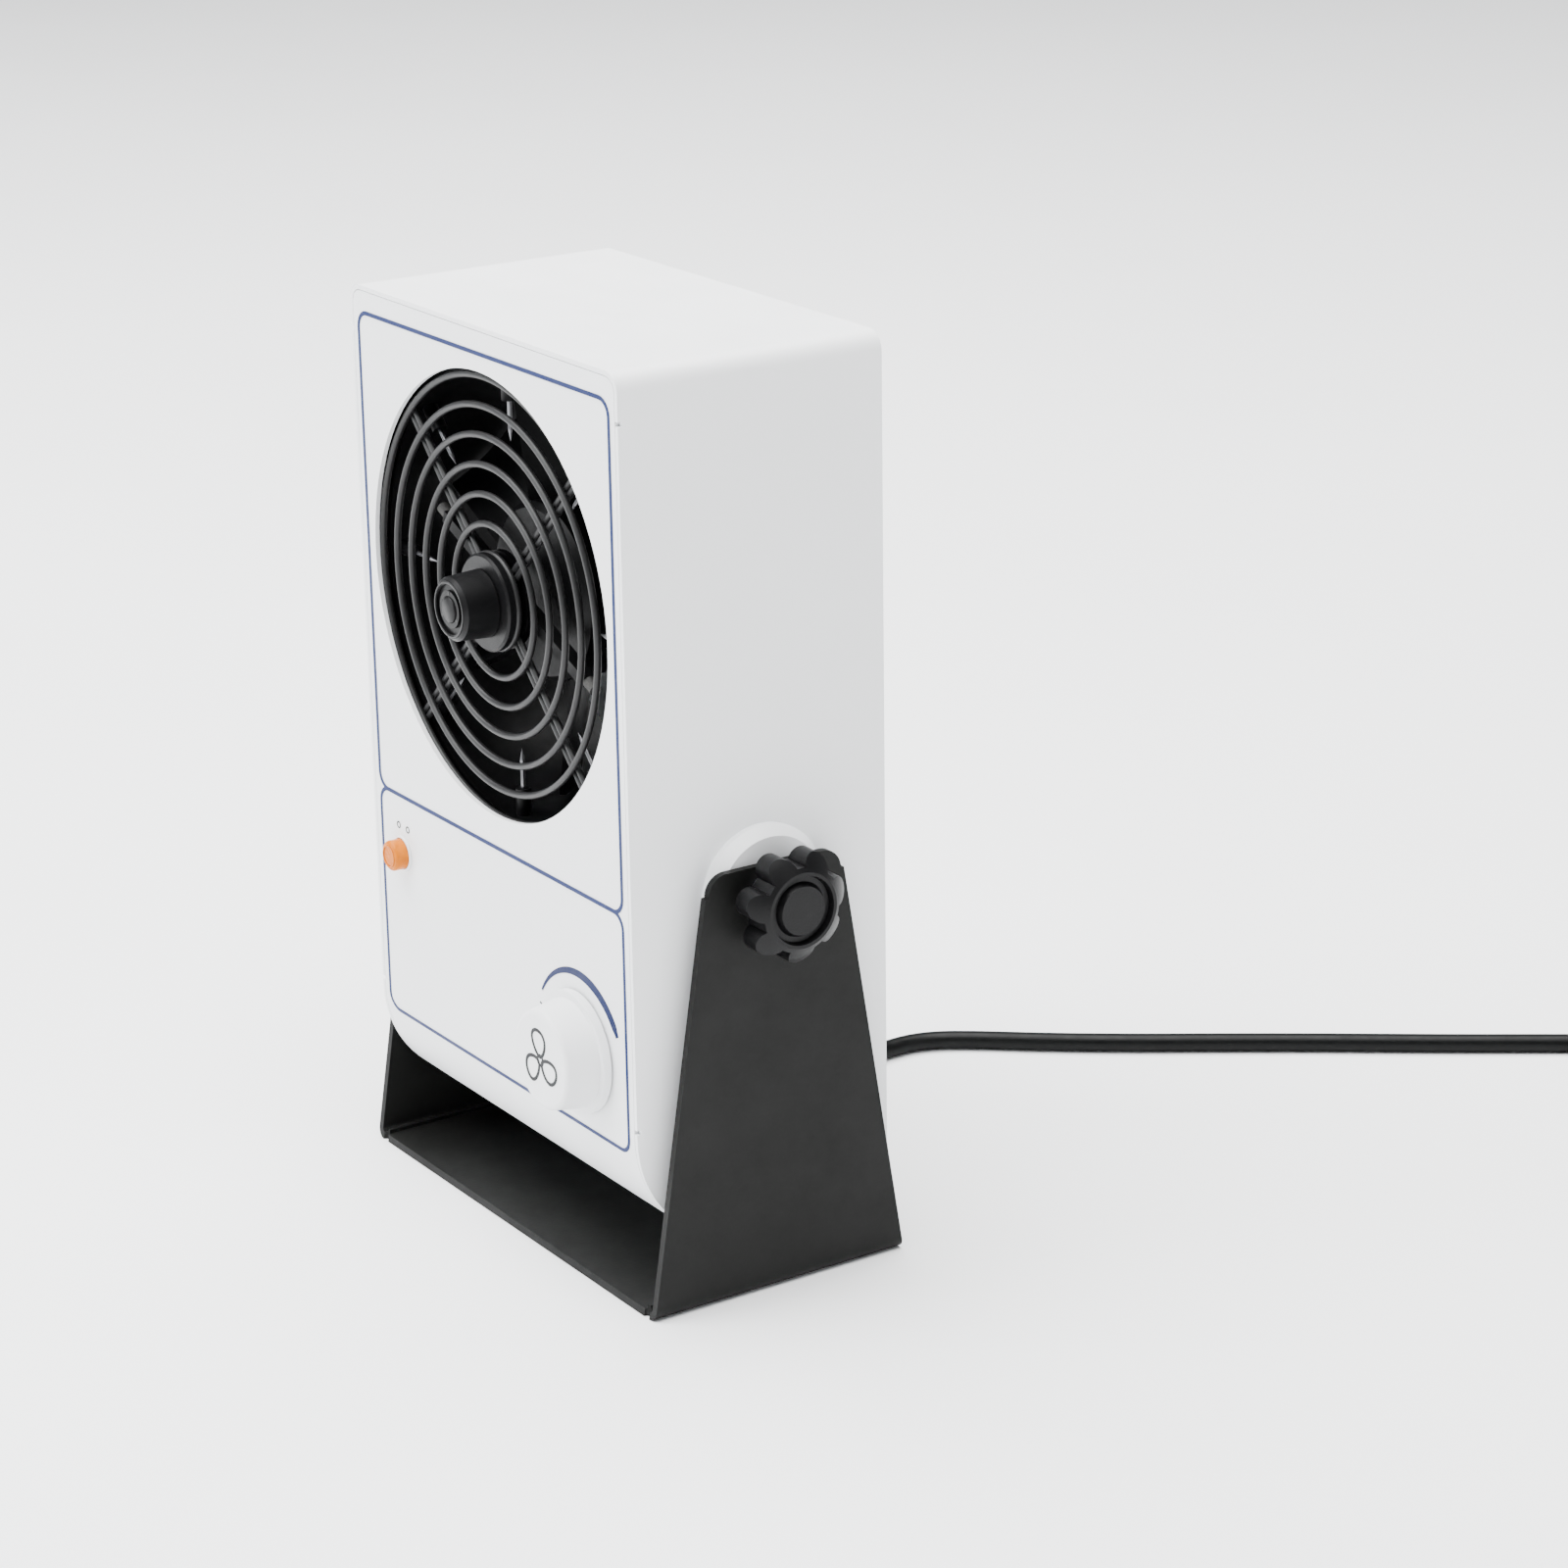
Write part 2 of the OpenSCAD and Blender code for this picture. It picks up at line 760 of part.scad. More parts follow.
// Close-wound torsion spring that brings the brush back
module return_spring() {
    color([0.75, 0.75, 0.76])
        translate([0, pocket_y + spring_wire / 2, fan_z])
            rotate([-90, 0, 0])
                rotate_extrude()
                    for (i = [0:spring_turns - 1])
                        translate([spring_r, i * spring_wire * 0.98])
                            circle(d = spring_wire, $fn = 16);
}

module cleaner_knob() {
    rim = 0.9;
    dish = 0.7;
    start = hub_face - loose;
    end = hub_face - cleaner_out;
    color([0.11, 0.11, 0.11])
        difference() {
            union() {
                rod_y(0, end + rim, fan_z, cleaner_r, start - end - rim, cleaner_r + 0.5);
                rod_y(0, end, fan_z, cleaner_r - rim, rim, cleaner_r);
            }
            difference() {
                rod_y(0, end - cut, fan_z, cleaner_r - 1.8, dish + cut);
                rod_y(0, end - 2 * cut, fan_z, cleaner_r - 3.4, dish + 3 * cut);
            }
            rod_y(0, end + 3, fan_z, cleaner_shaft_r, start - end);
        }
}

brush_y = hub_rear + 1;
brush_t = 3.6;
clip_t = 0.6;
shaft_end = brush_y + brush_t + clip_t + 0.8;

module cleaner_shaft() {
    color([0.75, 0.75, 0.76])
        rod_y(0, hub_face - cleaner_out + 3, fan_z, cleaner_shaft_r,
            shaft_end - hub_face + cleaner_out - 3);
}

brush_park = 22.5;
tuft_len = 3.6;
tuft_end = needle_tip - loose;

// Two opposite arms on a collar; parked midway between needles
module brush_carrier() {
    color([0.15, 0.15, 0.15])
        difference() {
            union() {
                rod_y(0, brush_y, fan_z, 5, brush_t);
                translate([0, brush_y, fan_z])
                    rotate([0, brush_park, 0])
                        translate([-tuft_end + tuft_len, 0, -brush_w / 2])
                            cube([2 * (tuft_end - tuft_len), brush_t, brush_w]);
            }
            rod_y(0, brush_y - cut, fan_z, cleaner_shaft_r, brush_t + 2 * cut);
        }
}

module brush_tufts() {
    color([0.85, 0.82, 0.7])
        translate([0, brush_y + brush_t / 2, fan_z])
            rotate([0, brush_park, 0])
                for (s = [-1, 1])
                    translate([s > 0 ? tuft_end - tuft_len : -tuft_end, 0, 0])
                        rotate([0, 90, 0])
                            cylinder(r = brush_t / 2 - 0.2, h = tuft_len, $fn = 24);
}

module shaft_clip() {
    color([0.6, 0.6, 0.62])
        difference() {
            rod_y(0, brush_y + brush_t, fan_z, 2 * cleaner_shaft_r, clip_t);
            rod_y(0, brush_y, fan_z, cleaner_shaft_r, brush_t + clip_t + cut);
        }
}

needle_y = emitter_y + emitter_d / 2;
needle_root = fan_bore_r - 1;

module around_fan(count, y) {
    for (i = [0:count - 1])
        translate([0, y, fan_z])
            rotate([0, i * 360 / count, 0])
                children();
}

module square_frame(y, t, bore) {
    half = fan_size / 2;
    difference() {
        plate_y(y, t)
            round_rect([-half, fan_z - half], [half, fan_z + half], frame_corner);
        rod_y(0, y - cut, fan_z, bore, t + 2 * cut);
        fan_corners(y - cut)
            rotate([-90, 0, 0])
                cylinder(r = m4_clear_r, h = t + 2 * cut);
    }
}

// Insulating frame between guard and fan, with a socket for each needle
module emitter_frame() {
    color([0.13, 0.13, 0.14])
        difference() {
            union() {
                square_frame(emitter_y, emitter_d, fan_bore_r);
                around_fan(needles, needle_y)
                    translate([fan_bore_r - socket_len, 0, 0])
                        rotate([0, 90, 0])
                            cylinder(r = socket_r, h = socket_len + 0.6, $fn = 24);
            }
            around_fan(needles, needle_y)
                translate([fan_bore_r - socket_len - cut, 0, 0])
                    rotate([0, 90, 0])
                        cylinder(r = needle_r, h = socket_len - 1 + cut, $fn = 24);
        }
}

module emitter_needles() {
    color([0.8, 0.8, 0.82])
        around_fan(needles, needle_y)
            rotate([0, 90, 0]) {
                translate([0, 0, needle_tip])
                    cylinder(r1 = 0.05, r2 = needle_r, h = needle_cone, $fn = 24);
                translate([0, 0, needle_tip + needle_cone])
                    cylinder(r = needle_r, h = needle_root - needle_tip - needle_cone, $fn = 24);
            }
}

module panel_studs() {
    stud_len = fan_y + fan_flange + nut_t + 2 - panel_in;
    color([0.75, 0.75, 0.76])
        fan_corners(panel_in)
            rotate([-90, 0, 0]) {
                cylinder(r = m4_r, h = stud_len);
                cylinder(r = stud_foot_r, h = spoke_y - wire / 2 - panel_in - run_fit);
            }
}

module fan_nuts() {
    color([0.75, 0.75, 0.76])
        fan_corners(fan_y + fan_flange)
            nut_y(nut_af, m4_r, nut_t);
}

// ---------- fan ----------

spider_t = 4;
spider_plate_r = hub_r + 1;
spider_w = 4;
spider_turn = 12;
spider_y = fan_end - spider_t;
duct_wall = 0.95 * fan_rim;
bearing_tube_r = 6;
bearing_r = 4.5;
bearing_t = 4;
tube_front = fan_y + 8;

// Two flanges, the duct between them and the spider that carries the motor
module fan_frame() {
    half = fan_size / 2;
    color([0.1, 0.1, 0.1])
        difference() {
            union() {
                difference() {
                    union() {
                        for (y = [fan_y, fan_end - fan_flange])
                            plate_y(y, fan_flange)
                                round_rect([-half, fan_z - half], [half, fan_z + half], frame_corner);
                        rod_y(0, fan_y + cut, fan_z, fan_bore_r + duct_wall, fan_d - 2 * cut);
                    }
                    rod_y(0, fan_y - cut, fan_z, fan_bore_r, fan_d + 2 * cut);
                    fan_corners(fan_y - cut)
                        rotate([-90, 0, 0])
                            cylinder(r = m4_clear_r, h = fan_d + 2 * cut);
                }
                rod_y(0, tube_front, fan_z, bearing_tube_r, spider_y - tube_front + cut);
                plate_y(spider_y, spider_t - 0.5)
                    translate([0, fan_z]) {
                        circle(spider_plate_r);
                        for (i = [0:3])
                            rotate(i * 90 - spider_turn)
                                translate([0, -spider_w / 2])
                                    square([fan_bore_r + duct_wall / 2, spider_w]);
                    }
            }
            rod_y(0, tube_front - cut, fan_z, bearing_r, fan_d);
        }
}

magnet_r = hub_r - 2;
magnet_t = 2.6;
magnet_front = 8;
magnet_rear = 1;
stator_r = magnet_r - magnet_t - 1.4;
stator_t = 12;
stator_gap = 4;

// Laminated stack with four wound poles
module fan_stator() {
    stack_y = spider_y - stator_t - stator_gap;
    color([0.72, 0.42, 0.2])
        difference() {
            union() {
                rod_y(0, stack_y, fan_z, bearing_tube_r + 3, stator_t + stator_gap);
                translate([0, stack_y, fan_z])
                    for (i = [0:3])
                        rotate([0, i * 90, 0])
                            intersection() {
                                translate([bearing_tube_r, 0, -5])
                                    cube([stator_r, stator_t, 10]);
                                rod_y(0, -cut, 0, stator_r, stator_t + 2 * cut);
                            }
            }
            rod_y(0, stack_y - cut, fan_z, bearing_tube_r, stator_t + stator_gap + 2 * cut);
        }
}

module fan_bearings() {
    color([0.8, 0.8, 0.82])
        for (y = [tube_front, spider_y - bearing_t])
            difference() {
                rod_y(0, y, fan_z, bearing_r, bearing_t);
                rod_y(0, y - cut, fan_z, fan_shaft_r + run_fit, bearing_t + 2 * cut);
            }
}

rotor_front = fan_y + 2.5;
rotor_wall = 2;
rotor_len = spider_y - loose - 0.7 - rotor_front;

// One blade: a curved strip drawn in the axial plane and extruded outwards
module blade() {
    strip_r = 34;
    strip_t = 1.6;
    strip_len = rotor_len - 5;
    rotate([90, 0, 90])
        translate([0, 0, hub_r - 1.5])
            linear_extrude(fan_bore_r)
                rotate(38)
                    translate([-strip_r + 2.5, 0])
                        intersection() {
                            difference() {
                                circle(strip_r);
                                circle(strip_r - strip_t);
                            }
                            translate([0, -strip_len / 2])
                                square([2 * strip_r, strip_len]);
                        }
}

module fan_rotor() {
    tip_r = fan_bore_r - tip_gap;
    color([0.11, 0.11, 0.11])
        difference() {
            union() {
                rod_y(0, rotor_front, fan_z, hub_r - 1.5, 1.5, hub_r);
                rod_y(0, rotor_front + 1.5, fan_z, hub_r, rotor_len - 1.5);
                intersection() {
                    around_fan(blades, rotor_front + rotor_len / 2)
                        blade();
                    difference() {
                        rod_y(0, rotor_front + 1, fan_z, tip_r, rotor_len - 2);
                        rod_y(0, rotor_front, fan_z, hub_r - 1, rotor_len);
                    }
                }
            }
            rod_y(0, rotor_front + rotor_wall, fan_z, magnet_r, rotor_len);
        }
}

module rotor_magnet() {
    magnet_y = rotor_front + magnet_front;
    magnet_len = rotor_len - magnet_front - magnet_rear;
    color([0.3, 0.3, 0.32])
        difference() {
            rod_y(0, magnet_y, fan_z, magnet_r, magnet_len);
            rod_y(0, magnet_y - cut, fan_z, magnet_r - magnet_t, magnet_len + 2 * cut);
        }
}

module fan_shaft() {
    color([0.8, 0.8, 0.82])
        rod_y(0, rotor_front + rotor_wall, fan_z, fan_shaft_r, spider_y - rotor_front - rotor_wall);
}

// ---------- controls ----------

// Skirted knob with a rounded face edge
module speed_knob() {
    skirt_t = 2.2;
    edge = 1.4;
    base = front_y - 0.5;
    depth = dial_out - 0.5;
    color([0.96, 0.96, 0.96])
        translate([dial_x, base, dial_z])
            rotate([90, 0, 0])
                difference() {
                    rotate_extrude() {
                        square([dial_skirt_r, skirt_t]);
                        polygon([[0, 0], [dial_face_r + 1.6, 0], [dial_face_r, depth - edge],
                            [dial_face_r - edge, depth], [0, depth]]);
                        translate([dial_face_r - edge, depth - edge])
                            circle(edge, $fn = 32);
                    }
                    translate([0, 0, -cut])
                        cylinder(r = bush_r + 4, h = 4 + cut);
                    translate([0, 0, -cut])
                        cylinder(r = speed_shaft_r, h = depth - 2.5 + cut);
                }
}

module speed_shaft() {
    start = front_y - dial_out + 2.5;
    color([0.75, 0.75, 0.76])
        rod_y(dial_x, start, dial_z, speed_shaft_r, panel_in + 3 - start);
}

module speed_pot() {
    bush_out = 3.2;
    can_r = 8.5;
    can_t = 9.5;
    color([0.35, 0.37, 0.4])
        difference() {
            union() {
                rod_y(dial_x, front_y - bush_out, dial_z, bush_r, sheet + bush_out + 1);
                rod_y(dial_x, panel_in, dial_z, can_r, can_t);
                translate([dial_x - 6, panel_in + 3, dial_z - can_r - 5])
                    cube([12, 1.2, 6]);
            }
            rod_y(dial_x, front_y - bush_out - cut, dial_z, speed_shaft_r + run_fit,
                bush_out + sheet + 3 + cut);
        }
}

module pot_nut() {
    nut = 2;
    color([0.75, 0.75, 0.76])
        translate([dial_x, front_y - nut, dial_z])
            nut_y(12, bush_r, nut);
}

// Lens with a rounded nose
module lamp_lens() {
    nose = 1;
    color([0.95, 0.55, 0.2])
        translate([lamp_x, panel_in, lamp_z])
            rotate([90, 0, 0])
                rotate_extrude() {
                    square([lamp_r, lamp_out + sheet - nose]);
                    square([lamp_r - nose, lamp_out + sheet]);
                    translate([lamp_r - nose, lamp_out + sheet - nose])
                        circle(nose, $fn = 32);
                }
}

module lamp_holder() {
    color([0.85, 0.85, 0.83])
        union() {
            rod_y(lamp_x, panel_in, lamp_z, lamp_r + 1.2, 3);
            rod_y(lamp_x, panel_in + 3, lamp_z, lamp_r, 11);
        }
}

module lamp_clip() {
    color([0.7, 0.7, 0.72])
        difference() {
            rod_y(lamp_x, panel_in + 3, lamp_z, lamp_r + 2, 0.8);
            rod_y(lamp_x, panel_in + 2, lamp_z, lamp_r, 3);
        }
}

// ---------- electronics ----------

module hv_module() {
    lead_r = 2.4;
    color([0.2, 0.2, 0.22])
        difference() {
            union() {
                translate([yoke_screw_x[0] - 4, -module_d / 2, floor_z + yoke_t])
                    cube([module_l, module_d, module_h]);
                rod_x(yoke_screw_x[0] - 4 + module_l, 0, floor_z + yoke_t + module_h - 8, lead_r, 6);
            }
            for (x = yoke_screw_x)
                translate([x, yoke_screw_y, floor_z + yoke_t - cut])
                    cylinder(r = m3_clear_r, h = 4 + 2 * cut);
        }
}

module control_board() {
    color([0.1, 0.4, 0.2])
        difference() {
            union() {
                plate_y(board_y, board_t)
                    span([-board_w / 2, board_z0], [board_w / 2, board_z1]);
                translate([relay_at[0], board_y - relay[1], board_z0 + relay_at[1]])
                    cube(relay);
                rod_y(filter_at[0], board_y - filter_out, board_z0 + filter_at[1], filter_r, filter_out);
                translate([driver_at[0], board_y - driver[1], board_z0 + driver_at[1]])
                    cube(driver);
            }
            for (sx = [-1, 1], z = board_hole_z)
                rod_y(sx * board_hole_x, board_y - cut, z, m3_r, board_t + 2 * cut);
        }
}

module board_standoffs() {
    color([0.8, 0.8, 0.75])
        for (sx = [-1, 1], z = board_hole_z)
            difference() {
                rod_y(sx * board_hole_x, board_y + board_t, z, standoff_r, board_gap);
                rod_y(sx * board_hole_x, board_y, z, m3_r, board_gap + 2 * cut);
            }
}

module board_screws() {
    color([0.75, 0.75, 0.76])
        for (sx = [-1, 1], z = board_hole_z)
            translate([sx * board_hole_x, board_y, z])
                rotate([90, 0, 0])
                    pan_screw(m3_r, board_t + 5);
}

module terminal_block() {
    pitch = 6;
    color([0.15, 0.35, 0.2])
        difference() {
            translate([-26, board_y - 11, board_z1 - 22])
                cube([4 * pitch, 11, 11]);
            for (i = [0:3])
                rod_y(-26 + (i + 0.5) * pitch, board_y - 11 - cut, board_z1 - 16.5, 1.8, 4 + cut);
        }
}

// ---------- cord ----------

// Tapered sleeve with a flange outside the panel and a ribbed neck inside
module cord_gland() {
    neck = 6;
    color([0.08, 0.08, 0.08])
        union() {
            rod_y(lead_x, rear_in - neck, gland_z, gland_hole_r + 1, neck);
            rod_y(lead_x, rear_in, gland_z, gland_hole_r, sheet);
            rod_y(lead_x, rear_y, gland_z, gland_hole_r + 1.6, gland_flange_t);
            rod_y(lead_x, rear_y + gland_flange_t, gland_z, gland_hole_r - 0.6, sleeve_len,
                cord_r + 1.2);
        }
}

function unit(v) = v / norm(v);

// Direction of travel at point i of a route
function heading(p, i) =
    unit(p[min(i + 1, len(p) - 1)] - p[max(i - 1, 0)]);

// One ring of corners square to the direction of travel; the route never runs straight up
function ring_at(p, i, r, sides) =
    let (h = heading(p, i), side = unit(cross(h, [0, 0, 1])), up = cross(side, h))
        [for (k = [0:sides - 1])
            p[i] + r * (cos(360 * k / sides) * side + sin(360 * k / sides) * up)];

// Closed tube along the route's points
module tube_along(p, r, sides = 10) {
    corners = [for (i = [0:len(p) - 1]) each ring_at(p, i, r, sides)];
    walls = [for (i = [0:len(p) - 2], k = [0:sides - 1])
        [i * sides + k, i * sides + (k + 1) % sides, (i + 1) * sides + (k + 1) % sides,
            (i + 1) * sides + k]];
    start = [for (k = [0:sides - 1]) sides - 1 - k];
    end = [for (k = [0:sides - 1]) (len(p) - 1) * sides + k];
    polyhedron(points = corners, faces = concat(walls, [start], [end]));
}

cord_color = [0.12, 0.12, 0.12];

module cord_lead() {
    color(cord_color)
        tube_along([for (q = lead_points) [lead_x, q[0], q[1]]], cord_r);
}

module cord_run() {
    color(cord_color)
        tube_along([for (q = run_points) [q[0], q[1], run_z]], cord_r);
}

coil_half = (coil_tracks - 1) * coil_pitch / 2 + cord_r;
coil_top = cord_d + (coil_layers - 1) * coil_pitch;

module cord_coil() {
    color(cord_color)
        translate([coil_x, coil_y, 0])
            rotate_extrude()
                translate([coil_mean_r - coil_half, 0])
                    square([2 * coil_half, coil_top]);
}

module cord_tail() {
    color(cord_color)
        tube_along(tail_points, cord_r);
}

// Strap over the coil, through its middle
module cord_tie() {
    strap_t = 1;
    strap_w = 12;
    color([0.2, 0.2, 0.2])
        translate([coil_x, coil_y, 0])
            rotate([0, 0, 200])
                difference() {
                    translate([coil_mean_r - coil_half - strap_t, -strap_w / 2, 0])
                        cube([2 * (coil_half + strap_t), strap_w, coil_top + strap_t]);
                    rotate_extrude()
                        translate([coil_mean_r - coil_half, -cut])
                            square([2 * coil_half, coil_top + cut]);
                }
}

// Places the plug's parts: local +X runs from the cord to the pins
module at_plug() {
    translate(tail_points[len(tail_points) - 1])
        rotate([0, 0, plug_turn])
            children();
}

module plug_body() {
    corner = 5;
    color([0.1, 0.1, 0.1])
        at_plug() {
            rotate([0, 90, 0])
                cylinder(r1 = cord_r + 0.8, r2 = cord_r + 3.4, h = plug_relief);
            translate([plug_relief, 0, 0])
                rotate([90, 0, 90])
                    linear_extrude(plug_len)
                        round_rect([-plug_w / 2, -plug_h / 2], [plug_w / 2, plug_h / 2], corner);
        }
}

module plug_pins() {
    blade_w = 6.3;
    blade_t = 1.5;
    blade_gap = 12.7;
    earth_r = 2.4;
    color([0.8, 0.78, 0.7])
        at_plug()
            translate([plug_relief + plug_len, 0, 0]) {
                for (s = [-1, 1])
                    translate([0, s * blade_gap / 2 - blade_t / 2, 4 - blade_w / 2])
                        cube([pin_len, blade_t, blade_w]);
                translate([0, 0, -6.5])
                    rotate([0, 90, 0])
                        cylinder(r = earth_r, h = pin_len + 3);
            }
}

// ---------- assembly ----------

stand();
chassis();
cover();
yoke();
weld_nuts();
yoke_screws();
cover_screws();
pivot_boss_right();
pivot_boss_left();
front_guard();
guard_hub();
hub_retainer();
hub_screws();
return_spring();
emitter_frame();
emitter_needles();
panel_studs();
fan_nuts();
fan_frame();
fan_stator();
fan_bearings();
fan_rotor();
rotor_magnet();
fan_shaft();
rear_guard();
rear_guard_screws();
cleaner_knob();
cleaner_shaft();
brush_carrier();
brush_tufts();
shaft_clip();
speed_knob();
speed_shaft();
speed_pot();
pot_nut();
lamp_lens();
lamp_holder();
lamp_clip();
hv_module();
control_board();
board_standoffs();
board_screws();
terminal_block();
clamp_knob_right();
clamp_stud_right();
clamp_washer_right();
clamp_knob_left();
clamp_stud_left();
clamp_washer_left();
cord_gland();
cord_lead();
cord_run();
cord_coil();
cord_tail();
cord_tie();
plug_body();
plug_pins();
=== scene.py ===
"""Looks for a bench ionizing blower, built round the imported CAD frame. Metres, row frame: origin at
the centre of the stand's underside, +X right seen from the front, +Y to the rear, +Z up."""
import json
import math

import bmesh
import bpy
from mathutils import Matrix, Vector


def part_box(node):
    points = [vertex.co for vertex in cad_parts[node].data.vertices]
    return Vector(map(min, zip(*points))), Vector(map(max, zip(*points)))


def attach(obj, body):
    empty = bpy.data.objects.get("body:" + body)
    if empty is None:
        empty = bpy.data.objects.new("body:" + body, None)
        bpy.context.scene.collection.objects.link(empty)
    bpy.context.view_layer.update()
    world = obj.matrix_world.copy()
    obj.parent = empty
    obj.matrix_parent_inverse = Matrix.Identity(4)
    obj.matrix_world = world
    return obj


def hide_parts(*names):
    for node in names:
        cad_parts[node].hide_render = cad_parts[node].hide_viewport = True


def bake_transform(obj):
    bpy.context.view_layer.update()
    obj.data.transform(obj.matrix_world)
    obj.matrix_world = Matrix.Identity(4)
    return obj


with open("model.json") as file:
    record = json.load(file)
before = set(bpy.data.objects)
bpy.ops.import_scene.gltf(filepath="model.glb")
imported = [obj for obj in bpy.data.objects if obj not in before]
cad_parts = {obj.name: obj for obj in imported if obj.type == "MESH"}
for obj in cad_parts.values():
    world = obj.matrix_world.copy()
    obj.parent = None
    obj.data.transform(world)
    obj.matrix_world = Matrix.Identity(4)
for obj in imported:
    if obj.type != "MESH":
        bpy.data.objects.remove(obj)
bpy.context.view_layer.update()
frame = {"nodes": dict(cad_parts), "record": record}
MM = 0.001
nodes = frame["nodes"]


# ---------- places taken from the CAD nodes ----------

chassis_lo, chassis_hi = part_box("chassis")
FRONT_Y = chassis_lo.y


def centre(node):
    low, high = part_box(node)
    return (low + high) / 2


# ---------- camera ----------

SENSOR_WIDTH = 36.0    # millimetres
LENS = 95.76           # millimetres
CAMERA_AT = (0.872, -0.528, 0.4617)
CAMERA_TURN = (56.44, 18.86, -0.86)    # degrees: yaw, pitch down, roll


def place_camera():
    """Camera that looks at the object as a product shot does: high, from the front right."""
    data = bpy.data.cameras.new("camera")
    camera = bpy.data.objects.new("camera", data)
    bpy.context.scene.collection.objects.link(camera)
    data.sensor_width = SENSOR_WIDTH
    data.lens = LENS
    data.clip_start = 0.05
    data.clip_end = 20.0
    yaw, pitch, roll = (math.radians(a) for a in CAMERA_TURN)
    forward = Vector((-math.sin(yaw) * math.cos(pitch),
                      math.cos(yaw) * math.cos(pitch), -math.sin(pitch)))
    right = Vector((math.cos(yaw), math.sin(yaw), 0))
    up = right.cross(forward)
    right_r = right * math.cos(roll) + up * math.sin(roll)
    up_r = up * math.cos(roll) - right * math.sin(roll)
    turn = Matrix((right_r, up_r, -forward)).transposed().to_4x4()
    camera.matrix_world = Matrix.Translation(Vector(CAMERA_AT)) @ turn
    bpy.context.scene.camera = camera


place_camera()


# ---------- mesh helpers ----------

def add_mesh(name, verts, faces, material=None, smooth=True):
    mesh = bpy.data.meshes.new(name)
    mesh.from_pydata([tuple(v) for v in verts], [], faces)
    mesh.validate()
    mesh.update()
    for polygon in mesh.polygons:
        polygon.use_smooth = smooth
    obj = bpy.data.objects.new(name, mesh)
    bpy.context.scene.collection.objects.link(obj)
    if material:
        mesh.materials.append(material)
    return obj


def face_outwards(obj, merge=0.0):
    """Joins points nearer each other than the given distance and turns all faces outwards."""
    bm = bmesh.new()
    bm.from_mesh(obj.data)
    if merge:
        bmesh.ops.remove_doubles(bm, verts=bm.verts, dist=merge)
    bmesh.ops.recalc_face_normals(bm, faces=bm.faces)
    bm.to_mesh(obj.data)
    bm.free()


def around(middle, radius, angle):
    """The x-z point at a radius and an angle from a place on the panel."""
    return Vector((middle.x + radius * math.cos(angle), middle.z + radius * math.sin(angle)))


def smooth_path(points, steps):
    """Points on a centripetal Catmull-Rom curve through the given points, with the ends kept."""
    pts = [Vector(p) for p in points]
    ghost = [2 * pts[0] - pts[1]] + pts + [2 * pts[-1] - pts[-2]]
    out = []
    for i in range(1, len(ghost) - 2):
        p0, p1, p2, p3 = ghost[i - 1:i + 3]
        t0 = 0.0
        t1 = t0 + math.sqrt((p1 - p0).length)
        t2 = t1 + math.sqrt((p2 - p1).length)
        t3 = t2 + math.sqrt((p3 - p2).length)
        for k in range(steps):
            t = t1 + (t2 - t1) * k / steps
            a1 = p0 * ((t1 - t) / (t1 - t0)) + p1 * ((t - t0) / (t1 - t0))
            a2 = p1 * ((t2 - t) / (t2 - t1)) + p2 * ((t - t1) / (t2 - t1))
            a3 = p2 * ((t3 - t) / (t3 - t2)) + p3 * ((t - t2) / (t3 - t2))
            b1 = a1 * ((t2 - t) / (t2 - t0)) + a2 * ((t - t0) / (t2 - t0))
            b2 = a2 * ((t3 - t) / (t3 - t1)) + a3 * ((t - t1) / (t3 - t1))
            out.append(b1 * ((t2 - t) / (t2 - t1)) + b2 * ((t - t1) / (t2 - t1)))
    out.append(pts[-1])
    return out


def sweep(path, radius, sides=14):
    """Verts and faces of a tube with capped ends, its section carried along the path without twist."""
    count = len(path)
    heading = [(path[min(i + 1, count - 1)] - path[max(i - 1, 0)]).normalized() for i in range(count)]
    side = heading[0].cross(Vector((0, 0, 1)))
    verts = []
    for i in range(count):
        side = (side - heading[i] * side.dot(heading[i])).normalized()
        up = side.cross(heading[i])
        for k in range(sides):
            a = 2 * math.pi * k / sides
            verts.append(path[i] + radius * (math.cos(a) * side + math.sin(a) * up))
    faces = []
    for i in range(count - 1):
        j = i + 1
        for k in range(sides):
            n = (k + 1) % sides
            faces.append((i * sides + k, i * sides + n, j * sides + n, j * sides + k))
    faces.append(tuple(reversed(range(sides))))
    faces.append(tuple(range((count - 1) * sides, count * sides)))
    return verts, faces


# ---------- materials ----------

